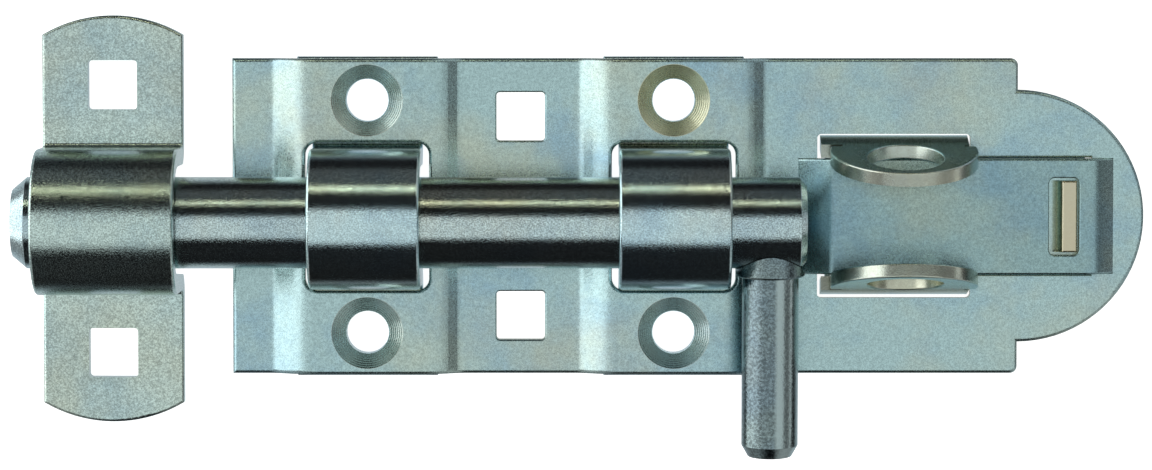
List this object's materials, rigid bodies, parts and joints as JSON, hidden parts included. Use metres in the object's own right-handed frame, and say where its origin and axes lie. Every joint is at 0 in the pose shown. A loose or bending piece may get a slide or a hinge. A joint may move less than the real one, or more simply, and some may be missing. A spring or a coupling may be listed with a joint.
{
  "type": "toggle bolt latch",
  "caption": "Padlockable round bolt latch: bolt with a turning side handle in two guide loops on a raised-pad plate, padlock ears, and a loose omega keeper.",
  "frame": {"origin": "centre of the four-screw pattern, on the back face of the plate", "axes": "+X along the bolt towards the padlock end, +Y across the plate, +Z out from the door"},
  "size_m": [0.1602, 0.0625, 0.0215],
  "materials": {
    "plate_zinc": "bright zinc plate, pale blue-grey with faint yellow iridescence",
    "strap_zinc": "bright zinc plate on formed strap, glossier than the plate",
    "staple_zinc": "bright zinc plate with tan sheared edges",
    "bolt_zinc": "drawn bright bar, zinc plated, glossy with fine specks",
    "handle_zinc": "turned bar, zinc plated, satin",
    "keeper_zinc": "bright zinc plate on formed strap"
  },
  "bodies": {
    "plate": {"base_plate": "plate_zinc", "guide_loop_front": "strap_zinc", "guide_loop_rear": "strap_zinc", "padlock_staple": "staple_zinc"},
    "bolt": {"bolt_rod": "bolt_zinc"},
    "handle": {"handle_pin": "handle_zinc", "handle_collar": "handle_zinc"},
    "keeper": {"keeper_loop": "keeper_zinc"}
  },
  "joints": [
    {"name": "bolt_slide", "type": "slide", "parent": "plate", "child": "bolt", "axis": [1, 0, 0], "range_m": [0, 0.0035]},
    {"name": "handle_turn", "type": "hinge", "parent": "bolt", "child": "handle", "pos_m": [0.035, -0.0005, 0.0112], "axis": [-1, 0, 0], "range_deg": [0, 190]},
    {"name": "keeper_slide", "type": "slide", "parent": "plate", "child": "keeper", "axis": [-1, 0, 0], "range_m": [-0.0065, 0.03]}
  ]
}
